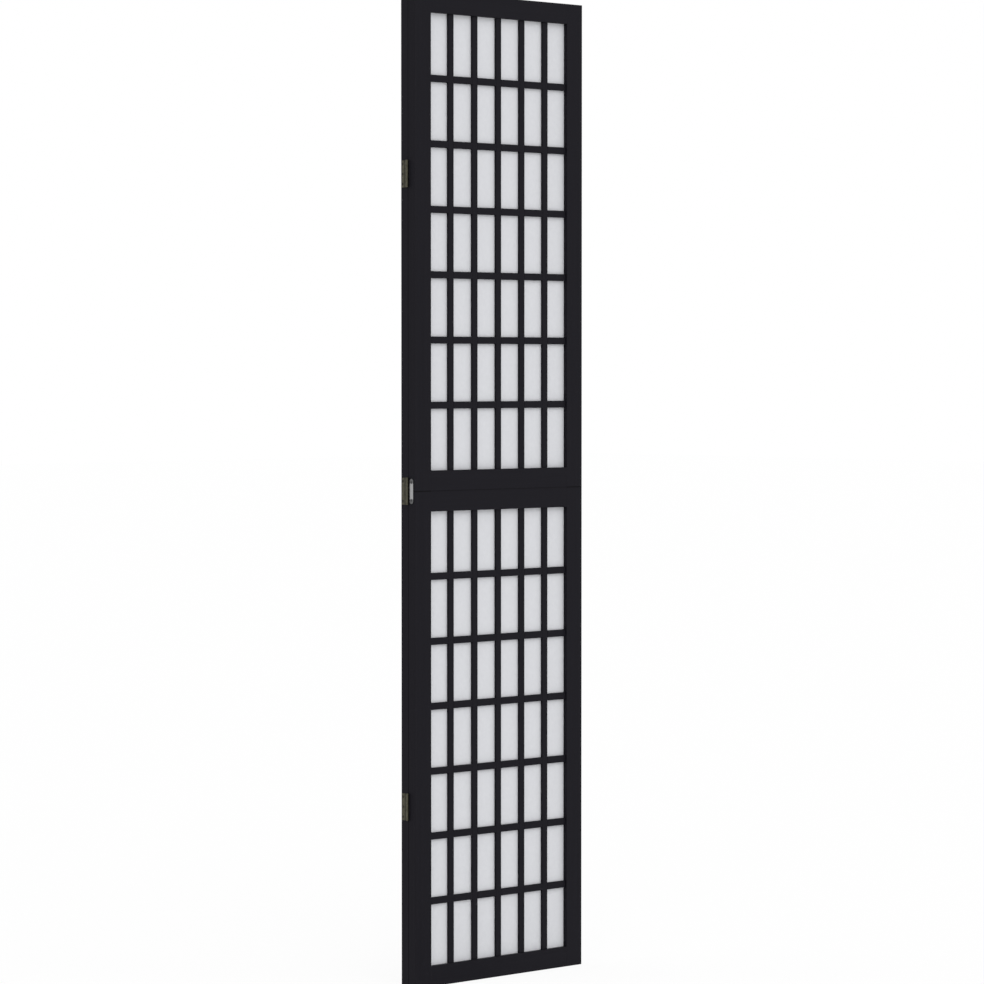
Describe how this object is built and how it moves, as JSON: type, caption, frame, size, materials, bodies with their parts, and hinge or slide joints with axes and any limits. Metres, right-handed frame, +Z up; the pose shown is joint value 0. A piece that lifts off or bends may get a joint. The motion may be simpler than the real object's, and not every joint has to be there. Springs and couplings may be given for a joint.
{
  "type": "shoji folding screen",
  "caption": "Tall folding room screen with black wooden frames, paper-backed lattices, brass hinges down one edge and a strap over the frames' joint; stored folded.",
  "frame": {"origin": "centre of the folded screen's footprint, on the floor", "axes": "+Z up, +X along the panels' width away from the hinges, +Y from the front panel to the rear panel"},
  "size_m": [0.405, 0.0348, 1.7],
  "materials": {
    "black_wood": "satin black paint over solid wood",
    "dowel_wood": "plain beech, glued in and hidden",
    "paper": "matt white translucent screen paper",
    "brass": "dull brass plating",
    "plate_steel": "zinc plated",
    "screw_steel": "dull plated, darker than the leaves"
  },
  "bodies": {
    "front_panel": {"front_lower_left_stile": "black_wood", "front_lower_right_stile": "black_wood", "front_lower_top_rail": "black_wood", "front_lower_bottom_rail": "black_wood", "front_lower_face_upright_bars": "black_wood", "front_lower_face_cross_bars": "black_wood", "front_lower_back_upright_bars": "black_wood", "front_lower_back_cross_bars": "black_wood", "front_lower_paper": "paper", "front_upper_left_stile": "black_wood", "front_upper_right_stile": "black_wood", "front_upper_top_rail": "black_wood", "front_upper_bottom_rail": "black_wood", "front_upper_face_upright_bars": "black_wood", "front_upper_face_cross_bars": "black_wood", "front_upper_back_upright_bars": "black_wood", "front_upper_back_cross_bars": "black_wood", "front_upper_paper": "paper", "front_dowels": "dowel_wood", "top_hinge_front_leaf": "brass", "top_hinge_pin": "brass", "middle_hinge_front_leaf": "brass", "middle_hinge_pin": "brass", "bottom_hinge_front_leaf": "brass", "bottom_hinge_pin": "brass", "front_leaf_screws": "screw_steel", "seam_plate": "plate_steel", "seam_plate_screws": "screw_steel"},
    "rear_panel": {"rear_lower_left_stile": "black_wood", "rear_lower_right_stile": "black_wood", "rear_lower_top_rail": "black_wood", "rear_lower_bottom_rail": "black_wood", "rear_lower_face_upright_bars": "black_wood", "rear_lower_face_cross_bars": "black_wood", "rear_lower_back_upright_bars": "black_wood", "rear_lower_back_cross_bars": "black_wood", "rear_lower_paper": "paper", "rear_upper_left_stile": "black_wood", "rear_upper_right_stile": "black_wood", "rear_upper_top_rail": "black_wood", "rear_upper_bottom_rail": "black_wood", "rear_upper_face_upright_bars": "black_wood", "rear_upper_face_cross_bars": "black_wood", "rear_upper_back_upright_bars": "black_wood", "rear_upper_back_cross_bars": "black_wood", "rear_upper_paper": "paper", "rear_dowels": "dowel_wood", "top_hinge_rear_leaf": "brass", "middle_hinge_rear_leaf": "brass", "bottom_hinge_rear_leaf": "brass", "rear_leaf_screws": "screw_steel"}
  },
  "joints": [
    {"name": "panel_fold", "type": "hinge", "parent": "front_panel", "child": "rear_panel", "pos_m": [-0.20015, 0, 0.85], "axis": [0, 0, 1], "range_deg": [0, 180]}
  ]
}
